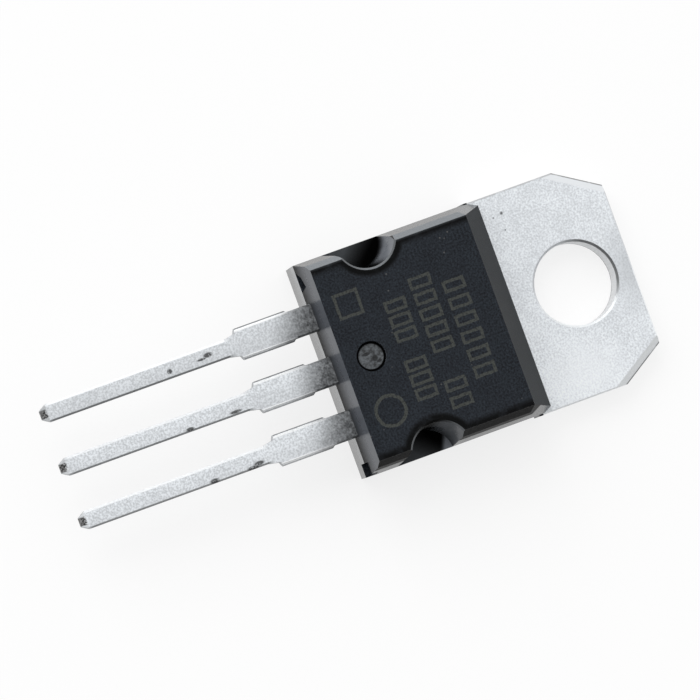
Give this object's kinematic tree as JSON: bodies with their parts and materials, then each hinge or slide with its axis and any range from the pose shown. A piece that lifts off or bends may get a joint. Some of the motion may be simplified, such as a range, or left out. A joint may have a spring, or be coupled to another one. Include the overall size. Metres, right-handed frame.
{
  "type": "voltage regulator",
  "caption": "Linear voltage regulator in a flat moulded power package with a holed metal mounting tab and straight flat leads in a row.",
  "frame": {"origin": "on the axis of the mounting hole, at the back plane of the metal tab that seats on a heat sink", "axes": "+Y toward the end of the tab, leads toward -Y, +Z out of the front face of the body, X across the leads"},
  "size_m": [0.0102, 0.0282, 0.0045],
  "materials": {
    "tinned_copper": "matte tin plating",
    "epoxy": "fine matte moulding compound",
    "solder": "dull",
    "silicon": "polished",
    "bond_wire": "bright drawn wire"
  },
  "bodies": {
    "root": {"tab_and_output_lead": "tinned_copper", "adjust_lead": "tinned_copper", "input_lead": "tinned_copper", "moulded_body": "epoxy", "die_solder": "solder", "silicon_die": "silicon", "adjust_wire": "bond_wire", "input_wire_1": "bond_wire", "input_wire_2": "bond_wire", "output_wire_1": "bond_wire", "output_wire_2": "bond_wire"}
  },
  "joints": []
}
